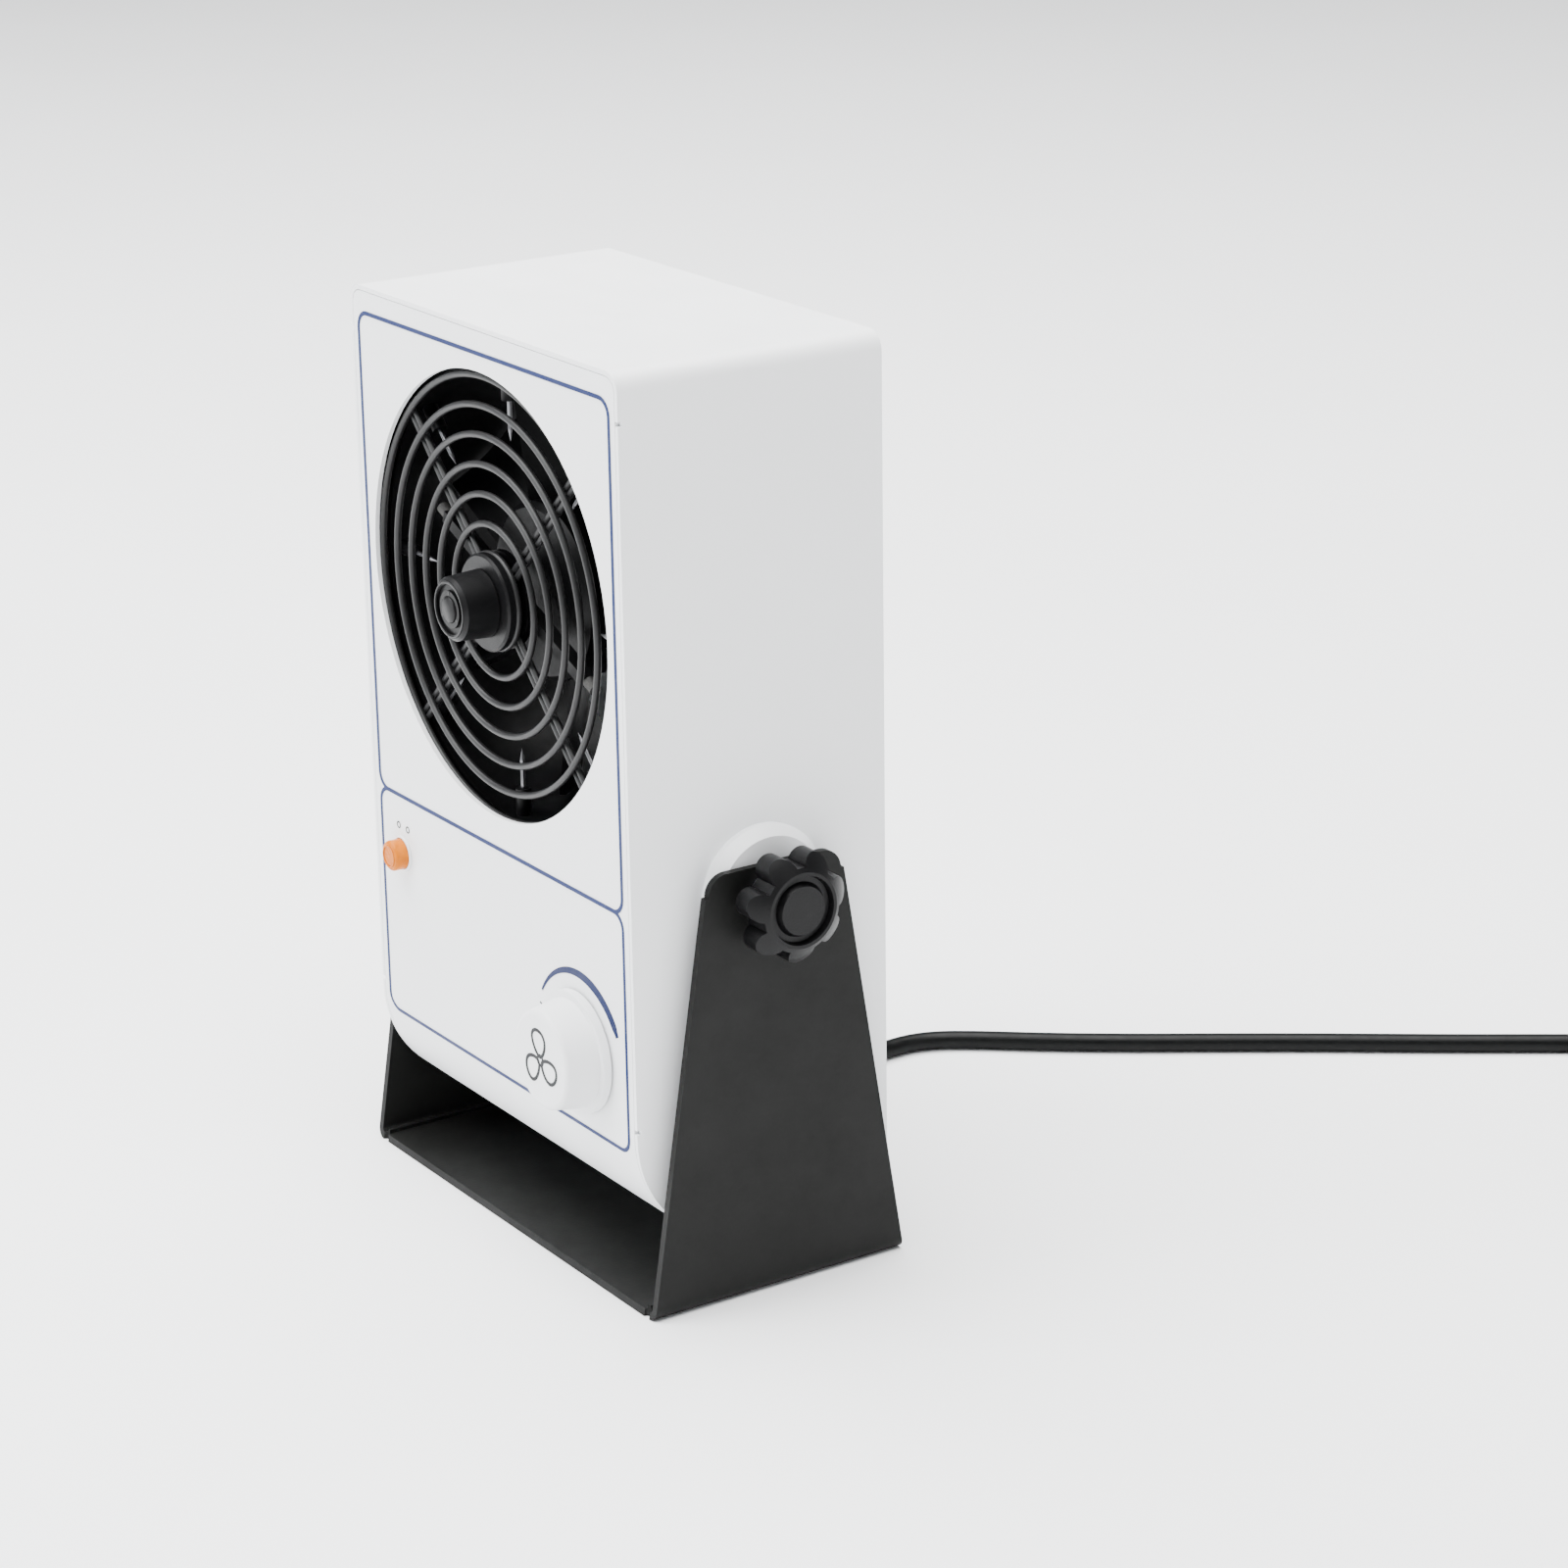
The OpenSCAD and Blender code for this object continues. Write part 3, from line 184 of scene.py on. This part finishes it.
class Graph:
    """A material's nodes, with short calls for the few kinds used here."""

    def __init__(self, name):
        self.material = bpy.data.materials.new(name)
        self.material.use_nodes = True
        self.tree = self.material.node_tree
        self.shader = self.tree.nodes["Principled BSDF"]
        self.place = self.tree.nodes.new("ShaderNodeTexCoord").outputs["Object"]

    def set(self, **values):
        for key, value in values.items():
            self.shader.inputs[key.replace("_", " ")].default_value = value
        return self

    def link(self, a, b):
        self.tree.links.new(a, b)

    def noise(self, scale, detail=4.0, rough=0.5, stretch=None):
        node = self.tree.nodes.new("ShaderNodeTexNoise")
        node.inputs["Scale"].default_value = scale
        node.inputs["Detail"].default_value = detail
        node.inputs["Roughness"].default_value = rough
        source = self.place
        if stretch:
            mapping = self.tree.nodes.new("ShaderNodeMapping")
            mapping.inputs["Scale"].default_value = stretch
            self.link(source, mapping.inputs["Vector"])
            source = mapping.outputs["Vector"]
        self.link(source, node.inputs["Vector"])
        return node.outputs["Fac"]

    def cells(self, scale, feature="F1"):
        node = self.tree.nodes.new("ShaderNodeTexVoronoi")
        node.feature = feature
        node.inputs["Scale"].default_value = scale
        self.link(self.place, node.inputs["Vector"])
        return node.outputs["Distance"]

    def span(self, value, low, high, to_low, to_high):
        node = self.tree.nodes.new("ShaderNodeMapRange")
        for name, number in (("From Min", low), ("From Max", high),
                             ("To Min", to_low), ("To Max", to_high)):
            node.inputs[name].default_value = number
        self.link(value, node.inputs["Value"])
        return node.outputs["Result"]

    def tint(self, value, dark, light):
        node = self.tree.nodes.new("ShaderNodeMix")
        node.data_type = "RGBA"
        node.inputs["A"].default_value = (*dark, 1)
        node.inputs["B"].default_value = (*light, 1)
        self.link(value, node.inputs["Factor"])
        self.link(node.outputs["Result"], self.shader.inputs["Base Color"])

    def rough(self, value):
        self.link(value, self.shader.inputs["Roughness"])

    def bump(self, value, strength, distance):
        node = self.tree.nodes.new("ShaderNodeBump")
        node.inputs["Strength"].default_value = strength
        node.inputs["Distance"].default_value = distance
        self.link(value, node.inputs["Height"])
        before = self.shader.inputs["Normal"].links
        if before:
            self.link(before[0].from_socket, node.inputs["Normal"])
        self.link(node.outputs["Normal"], self.shader.inputs["Normal"])


def shade(colour, share):
    """The colour darkened to a share of itself."""
    return tuple(c * share for c in colour)


def powder_coat(name, colour, rough, grain, depth, vary=0.04, spec=0.4):
    """Baked powder: fine orange peel, a little variation of colour and gloss, faint handling marks."""
    g = Graph(name).set(Specular_IOR_Level=spec)
    cloud = g.noise(14, 5)
    g.tint(g.span(cloud, 0.3, 0.7, 0, 1), shade(colour, 1 - vary), colour)
    g.rough(g.span(g.noise(60, 6, 0.6), 0.3, 0.7, rough - 0.05, rough + 0.06))
    g.bump(g.noise(grain, 3, 0.6), 0.35, depth)
    g.bump(g.noise(grain / 6, 2), 0.12, depth * 3)
    return g.material


def moulding(name, colour, rough, grain=2600, depth=0.00002, vary=0.06, spec=0.45):
    """Moulded plastic: spark-eroded grain, faint flow variation and slightly polished patches."""
    g = Graph(name).set(Specular_IOR_Level=spec)
    g.tint(g.span(g.noise(40, 3), 0.3, 0.7, 0, 1), shade(colour, 1 - vary), colour)
    g.rough(g.span(g.noise(120, 5, 0.6), 0.3, 0.7, rough - 0.06, rough + 0.07))
    g.bump(g.cells(grain), 0.3, depth)
    return g.material


def metal(name, colour, rough, stretch=(1, 1, 1), vary=0.12, scale=900):
    """Plated or bare metal: drawn or brushed lines, cloudy tint and uneven gloss."""
    g = Graph(name).set(Metallic=1.0)
    lines = g.noise(scale, 3, 0.6, stretch)
    g.tint(g.span(g.noise(70, 4), 0.3, 0.7, 0, 1), shade(colour, 1 - vary), colour)
    g.rough(g.span(lines, 0.3, 0.7, rough - 0.07, rough + 0.08))
    g.bump(lines, 0.15, 0.00002)
    return g.material


def cord_jacket(name, colour):
    """Soft black jacket: slight gloss, fine drag marks along it."""
    g = Graph(name).set(Specular_IOR_Level=0.12)
    g.tint(g.span(g.noise(90, 4), 0.3, 0.7, 0, 1), shade(colour, 0.85), colour)
    g.rough(g.span(g.noise(300, 4, 0.6), 0.3, 0.7, 0.34, 0.5))
    g.bump(g.noise(900, 3), 0.2, 0.00004)
    return g.material


def amber(name):
    """Frosted amber lens, a little deeper in places."""
    g = Graph(name).set(Specular_IOR_Level=0.1, Coat_Weight=0.05, Coat_Roughness=0.08)
    g.tint(g.span(g.noise(400, 2), 0.3, 0.7, 0, 1), (0.48, 0.115, 0.0), (0.60, 0.16, 0.0))
    g.rough(g.span(g.noise(600, 3), 0.3, 0.7, 0.2, 0.32))
    g.bump(g.cells(1400), 0.25, 0.00005)
    return g.material


def bristle(name):
    """Tufts of fine dark hair."""
    g = Graph(name)
    strands = g.noise(2600, 2, 0.5, (1, 6, 1))
    g.tint(g.span(strands, 0.35, 0.65, 0, 1), (0.02, 0.02, 0.021), (0.07, 0.068, 0.062))
    g.rough(g.span(strands, 0.3, 0.7, 0.5, 0.7))
    g.bump(strands, 0.6, 0.0002)
    return g.material


def board_mask(name):
    """Green solder mask over raised tracks."""
    g = Graph(name).set(Coat_Weight=0.4)
    tracks = g.cells(260, "DISTANCE_TO_EDGE")
    g.tint(g.span(tracks, 0.02, 0.06, 0, 1), (0.06, 0.24, 0.11), (0.02, 0.12, 0.05))
    g.rough(g.span(g.noise(200, 3), 0.3, 0.7, 0.3, 0.42))
    g.bump(g.span(tracks, 0.02, 0.06, 1, 0), 0.3, 0.00004)
    return g.material


def winding(name):
    """Lacquered copper wire, turn beside turn."""
    g = Graph(name).set(Metallic=0.7)
    turns = g.noise(3000, 1, 0.4, (0.2, 1, 1))
    g.tint(g.span(turns, 0.35, 0.65, 0, 1), (0.35, 0.12, 0.04), (0.72, 0.33, 0.13))
    g.rough(g.span(turns, 0.3, 0.7, 0.28, 0.42))
    g.bump(turns, 0.5, 0.0001)
    return g.material


LOOKS = {
    "white_coat": powder_coat("white_coat", (0.84, 0.85, 0.86), 0.42, 1500, 0.00003, 0.02, 0.4),
    "black_coat": powder_coat("black_coat", (0.0050, 0.0052, 0.0048), 0.55, 1100, 0.00009, 0.25, 0.16),
    "guard_wire": powder_coat("guard_wire", (0.0125, 0.0125, 0.013), 0.42, 1800, 0.00002, 0.2, 0.3),
    "bright_wire": metal("bright_wire", (0.74, 0.74, 0.76), 0.22),
    "zinc_steel": metal("zinc_steel", (0.66, 0.67, 0.70), 0.32, (1, 12, 1)),
    "white_plastic": moulding("white_plastic", (0.82, 0.83, 0.84), 0.36, vary=0.02),
    "black_plastic": moulding("black_plastic", (0.0032, 0.0032, 0.0036), 0.38, 2200, 0.00005, 0.25, 0.16),
    "brush_hair": bristle("brush_hair"),
    "needle_metal": metal("needle_metal", (0.20, 0.20, 0.21), 0.34, (8, 1, 8)),
    "magnet": moulding("magnet", (0.02, 0.02, 0.022), 0.7, 1500, 0.00008, 0.3, 0.2),
    "copper_winding": winding("copper_winding"),
    "pot_metal": metal("pot_metal", (0.6, 0.61, 0.63), 0.34),
    "amber_lens": amber("amber_lens"),
    "potting": moulding("potting", (0.03, 0.03, 0.035), 0.4, 1400, 0.00006, 0.2),
    "circuit_board": board_mask("circuit_board"),
    "cord_jacket": cord_jacket("cord_jacket", (0.0022, 0.0025, 0.0025)),
    "pin_brass": metal("pin_brass", (0.78, 0.70, 0.46), 0.25, (1, 8, 1)),
}


def dress_nodes():
    """Gives each CAD node the material that its slot names."""
    for part in frame["record"]["subparts"]:
        obj = nodes[part["node"]]
        obj.data.materials.clear()
        obj.data.materials.append(LOOKS[part["material_slot"]])


dress_nodes()


SHEET_EDGE = 0.22 * MM
SHARP = math.radians(32)


def soften(node):
    """Rounds a sheet part's sharp edges for the eye: the size stays."""
    bevel = nodes[node].modifiers.new("edge", "BEVEL")
    bevel.width = SHEET_EDGE
    bevel.segments = 3
    bevel.limit_method = "ANGLE"
    bevel.angle_limit = SHARP
    bevel.harden_normals = False


for sheet_part in ("stand", "cover", "chassis"):
    soften(sheet_part)


# ---------- cord ----------

CORD_D = 5.2 * MM
LEAD_X = -35 * MM
COIL = Vector((135.5, 280, 0)) * MM    # the coil's centre
PITCH = 5.3 * MM                       # from turn to turn, sideways and up
INNER = 20.8 * MM
TURNS_IN = 4                           # on the bench
CLIMB = 0.25
TURNS_OUT = 3.1                        # on top
OUTER = INNER + TURNS_IN * PITCH
COIL_START = math.radians(144)
COIL_STEPS = 24                        # points in each turn
# All in millimetres: (y, z) from the sleeve down, (x, y) along the bench, (x, y, z) from coil to plug
LEAD = ((60, 30), (64, 30), (69, 29.4), (74.2, 27.4), (79, 24.2), (83.6, 19.6), (88, 14.4),
        (92.6, 9.7), (97.6, 5.8), (103, 3.3), (107.5, 2.6), (111, 2.6))
RUN = ((-35, 114), (-34, 119), (-31.7, 124.3), (-27.5, 130.5), (-21.5, 138), (-14, 147), (-5, 158.5),
       (5, 172), (17, 189), (30, 207), (43, 224.5), (56, 242), (69, 260), (82, 278))
TAIL = ((171.4, 291.7, 7.9), (172.8, 287.4, 8.3), (174.3, 282.7, 9.5), (175.9, 277.8, 11.2),
        (177.5, 272.8, 12.5), (179.4, 267, 12.5))


def coil_point(t):
    """The cord's centre after t turns: inwards on the bench, a climb at the inside, outwards on top."""
    low = CORD_D / 2
    high = low + PITCH
    if t <= TURNS_IN:
        radius, height = OUTER - PITCH * t, low
    elif t <= TURNS_IN + CLIMB:
        share = (t - TURNS_IN) / CLIMB
        share = share * share * (3 - 2 * share)
        radius, height = INNER, low + (high - low) * share
    else:
        radius, height = INNER + PITCH * (t - TURNS_IN - CLIMB), high
    angle = COIL_START - 2 * math.pi * t
    return COIL + Vector((radius * math.cos(angle), radius * math.sin(angle), height))


def cord_route():
    """The cord's centreline: down from the sleeve to the bench, along it, round the coil, to the plug."""
    points = [Vector((LEAD_X, y * MM, z * MM)) for y, z in LEAD]
    points += [Vector((x * MM, y * MM, CORD_D / 2)) for x, y in RUN]
    last = int((TURNS_IN + CLIMB + TURNS_OUT) * COIL_STEPS)
    points += [coil_point(k / COIL_STEPS) for k in range(last)]
    return points + [Vector(p) * MM for p in TAIL]


path = smooth_path(cord_route(), 4)
verts, faces = sweep(path, CORD_D / 2)
flex = add_mesh("cord_flex", verts, faces, LOOKS["cord_jacket"])
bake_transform(flex)
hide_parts("cord_lead", "cord_run", "cord_coil", "cord_tail")


# ---------- printed marks on the panel ----------

INK_T = 0.05 * MM      # the ink's thickness
LIFT = 0.03 * MM       # its underside above the surface
BEND_R = 33 * MM       # the panel's large bend
BEND_Z = chassis_lo.z + BEND_R


def panel_y(z):
    """The front panel's surface at a height: flat, then round the large bend below."""
    if z >= BEND_Z:
        return FRONT_Y
    drop = BEND_Z - z
    return FRONT_Y + BEND_R - math.sqrt(BEND_R ** 2 - drop ** 2)


def ink(name, colour):
    """Printed ink: nearly even, with a fine tooth."""
    g = Graph(name).set(Specular_IOR_Level=0.12)
    g.tint(g.span(g.noise(300, 3), 0.3, 0.7, 0, 1), shade(colour, 0.88), colour)
    g.rough(g.span(g.noise(500, 4), 0.3, 0.7, 0.35, 0.45))
    g.bump(g.noise(2200, 2), 0.15, 0.00001)
    return g.material


INK_BLUE = ink("ink_blue", (0.004, 0.014, 0.085))
INK_DEEP = ink("ink_deep_blue", (0.003, 0.009, 0.060))
INK_GREY = ink("ink_grey", (0.010, 0.011, 0.013))


def ribbon(name, line, widths, closed, material, surface=panel_y, body="housing", lift=LIFT):
    """A printed line: a thin strip along x-z points, of the given width at each, on a surface."""
    count = len(line)
    verts = []
    for i, point in enumerate(line):
        before = line[i - 1] if i or closed else line[0]
        after = line[(i + 1) % count] if i < count - 1 or closed else line[-1]
        along = (after - before).normalized()
        across = Vector((-along.y, along.x)) * widths[i] / 2
        for side in (across, -across):
            x, z = point + side
            for level in (lift, lift + INK_T):
                verts.append((x, surface(z) - level, z))
    faces = []
    for i in range(count if closed else count - 1):
        a, b = 4 * i, 4 * ((i + 1) % count)
        faces += [(a + 1, a + 3, b + 3, b + 1), (a, b, b + 2, a + 2),
                  (a, a + 1, b + 1, b), (a + 2, b + 2, b + 3, a + 3)]
    if not closed:
        e = 4 * (count - 1)
        faces += [(0, 2, 3, 1), (e, e + 1, e + 3, e + 2)]
    obj = add_mesh(name, verts, faces, material, smooth=False)
    face_outwards(obj)
    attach(obj, body)


def rounded_box(x0, z0, x1, z1, radius, step=6):
    """Points round a rectangle with round corners, with extra points up its sides."""
    out = []
    for cx, cz, begin in ((x1 - radius, z1 - radius, 0), (x0 + radius, z1 - radius, 90),
                          (x0 + radius, z0 + radius, 180), (x1 - radius, z0 + radius, 270)):
        for k in range(step + 1):
            a = math.radians(begin + 90 * k / step)
            out.append(Vector((cx + radius * math.cos(a), cz + radius * math.sin(a))))
    dense = []
    for i, point in enumerate(out):
        after = out[(i + 1) % len(out)]
        pieces = max(1, int((after - point).length / (3 * MM)))
        dense += [point.lerp(after, k / pieces) for k in range(pieces)]
    return dense


OUTLINE_HALF = 61 * MM
OUTLINE_LOW = 41.8 * MM
OUTLINE_TOP = chassis_hi.z - 5.5 * MM
DIVIDER_Z = 105 * MM
OUTLINE_W = 1.1 * MM
OUTLINE_R = 4.2 * MM
ARC_R = 20.6 * MM
ARC_BEGIN, ARC_SPAN, ARC_STEPS = 149, 122, 40    # degrees, anticlockwise from the right


def outlines():
    """A line round the outlet's field and one round the controls' field, which meet at the divider."""
    for name, low, high, lift in (("outline_outlet", DIVIDER_Z, OUTLINE_TOP, LIFT + INK_T),
                                  ("outline_controls", OUTLINE_LOW, DIVIDER_Z, LIFT)):
        line = rounded_box(-OUTLINE_HALF, low, OUTLINE_HALF, high, OUTLINE_R)
        ribbon(name, line, [OUTLINE_W] * len(line), True, INK_BLUE, lift=lift)


def dial_marks():
    """The arc that widens clockwise round the speed knob, and two plain ticks."""
    dial = centre("speed_knob")
    line, widths = [], []
    for k in range(ARC_STEPS + 1):
        share = k / ARC_STEPS
        line.append(around(dial, ARC_R, math.radians(ARC_BEGIN - ARC_SPAN * share)))
        taper = min(1, 4.2 * math.sqrt(max(0.02, 1 - share)))
        widths.append((0.7 + 1.7 * min(1, 1.6 * share)) * MM * taper)
    ribbon("speed_arc", line, widths, False, INK_DEEP)
    for k, angle in ((2, -130), (4, -200)):
        ends = [around(dial, r * MM, math.radians(angle)) for r in (18.2, 20.2)]
        ribbon("speed_tick_%d" % k, ends, [0.5 * MM] * 2, False, INK_GREY)


def lamp_marks():
    """Two small rings above the lamp."""
    lamp = centre("lamp_lens")
    for k, (dx, dz) in enumerate(((-1.6, 7.6), (3.2, 7.4))):
        spot = lamp + Vector((dx * MM, 0, dz * MM))
        circle = [around(spot, 0.8 * MM, i * math.pi / 8) for i in range(16)]
        ribbon("lamp_mark_%d" % k, circle, [0.35 * MM] * 16, True, INK_GREY)


outlines()
dial_marks()
lamp_marks()


BLADE_LENGTH = 7.8 * MM
BLADE_LINE = 0.95 * MM
HUB_R, HUB_LINE = 1.3 * MM, 0.8 * MM


def blade_outline(middle, turn):
    """One rounded fan blade, wide at its tip, in x-z."""
    out = []
    for k in range(40):
        t = 2 * math.pi * k / 40
        along = 0.56 + 0.44 * math.cos(t)
        wide = 0.40 * math.sin(t) * (0.6 + 0.6 * along)
        x, z = along * BLADE_LENGTH, wide * BLADE_LENGTH + 0.12 * BLADE_LENGTH * along
        out.append(Vector((middle.x + x * math.cos(turn) - z * math.sin(turn),
                           middle.z + x * math.sin(turn) + z * math.cos(turn))))
    return out


def knob_symbol():
    """A plain three-bladed fan on the speed knob's face."""
    dial = centre("speed_knob")
    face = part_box("speed_knob")[0].y
    hub = [around(dial, HUB_R, k * math.pi / 12) for k in range(24)]
    ribbon("knob_hub", hub, [HUB_LINE] * len(hub), True, INK_GREY, lambda z: face, "dial", LIFT / 2)
    for k in range(3):
        line = blade_outline(dial, math.radians(90 + 120 * k))
        ribbon("knob_blade_%d" % k, line, [BLADE_LINE] * len(line), True, INK_GREY,
               lambda z: face, "dial")


knob_symbol()


# ---------- small fitted details ----------

def turned(name, profile, at, material, body, sides=64):
    """A turned ring or cap: (radius, height) points in millimetres, revolved round an axis that
    points to the front through a place. A profile that starts on the axis makes a cap."""
    turn = Vector((0, 0, 1)).rotation_difference(Vector((0, -1, 0))).to_matrix()
    closed = profile[0][0] > 0
    verts, faces = [], []
    for k in range(sides):
        a = 2 * math.pi * k / sides
        for r, h in profile:
            verts.append(at + turn @ Vector((r * MM * math.cos(a), r * MM * math.sin(a), h * MM)))
    n = len(profile)
    for k in range(sides):
        j = (k + 1) % sides
        for i in range(n if closed else n - 1):
            m = (i + 1) % n
            faces.append((k * n + i, j * n + i, j * n + m, k * n + m))
    obj = add_mesh(name, verts, faces, material)
    face_outwards(obj, merge=1e-7)
    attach(obj, body)


def lamp_details():
    """Collar where the lamp meets the panel, and a fine ring on its face."""
    low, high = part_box("lamp_lens")
    lamp = (low + high) / 2
    r = (high.x - low.x) / 2 / MM
    base = Vector((lamp.x, FRONT_Y, lamp.z))
    collar = [(r + 0.08, 0.02), (r + 0.7, 0.02), (r + 0.7, 0.35), (r + 0.45, 0.6), (r + 0.08, 0.6)]
    turned("lamp_collar", collar, base, LOOKS["white_plastic"], "housing")
    face = Vector((lamp.x, low.y, lamp.z))
    ring = [(r - 1.5, 0.02), (r - 0.95, 0.02), (r - 1.1, 0.22), (r - 1.4, 0.22)]
    turned("lamp_face_ring", ring, face, LOOKS["amber_lens"], "housing")


lamp_details()


def cleaner_details():
    """Raised rim, centre button and three short marks on the cleaner knob's face."""
    low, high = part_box("cleaner_knob")
    mid = (low + high) / 2
    face = Vector((mid.x, low.y, mid.z))
    rim = [(6.6, 0.01), (7.2, 0.01), (7.1, 0.28), (6.7, 0.28)]
    turned("cleaner_rim", rim, face, LOOKS["guard_wire"], "cleaner")
    button = [(0, 0.45), (3.0, 0.45), (3.5, 0.02), (0, 0.02)]
    turned("cleaner_button", button, face, LOOKS["black_plastic"], "cleaner")
    for k in range(3):
        line = [around(face, r * MM, math.radians(90 + 120 * k)) for r in (3.7, 4.6)]
        ribbon("cleaner_mark_%d" % k, line, [0.9 * MM, 0.5 * MM], False, LOOKS["guard_wire"],
               lambda z: face.y, "cleaner")


cleaner_details()


# ---------- floor and light ----------

FLOOR_HALF = 8.0
FLOOR_Z = -0.1 * MM


def make_floor():
    """A wide sheet of white paper under the stand."""
    g = Graph("floor_paper").set(Specular_IOR_Level=0.15)
    g.tint(g.span(g.noise(3, 2), 0.3, 0.7, 0, 1), (0.86, 0.865, 0.87), (0.88, 0.885, 0.89))
    g.rough(g.span(g.noise(20, 3), 0.3, 0.7, 0.75, 0.85))
    corners = [(x * FLOOR_HALF, y * FLOOR_HALF, FLOOR_Z) for x, y in ((-1, -1), (1, -1), (1, 1), (-1, 1))]
    floor = add_mesh("floor", corners, [(0, 1, 2, 3)], g.material, smooth=False)


AIM = (0, 0, 0.11)


def soft_light(name, at, size, energy, colour=(1, 1, 1)):
    """A large lamp that faces the housing."""
    data = bpy.data.lights.new(name, "AREA")
    data.shape = "RECTANGLE"
    data.size, data.size_y = size
    data.energy = energy
    data.color = colour
    lamp = bpy.data.objects.new(name, data)
    lamp.location = at
    lamp.rotation_euler = (Vector(AIM) - Vector(at)).to_track_quat("-Z", "Y").to_euler()
    bpy.context.scene.collection.objects.link(lamp)


def light_studio():
    """A bright room, a bank above, one at the front left and a weak one behind at the right."""
    world = bpy.data.worlds.new("studio")
    bpy.context.scene.world = world
    world.use_nodes = True
    background = world.node_tree.nodes["Background"]
    background.inputs["Color"].default_value = (0.97, 0.985, 1.0, 1)
    background.inputs["Strength"].default_value = 0.5
    soft_light("top_bank", (-0.2, -0.2, 2.0), (2.4, 2.4), 235)
    soft_light("front_bank", (-1.1, -2.0, 1.0), (1.4, 1.8), 62, (0.96, 0.98, 1.0))
    soft_light("side_edge", (1.9, 0.5, 0.9), (0.5, 1.6), 5)


make_floor()
light_studio()
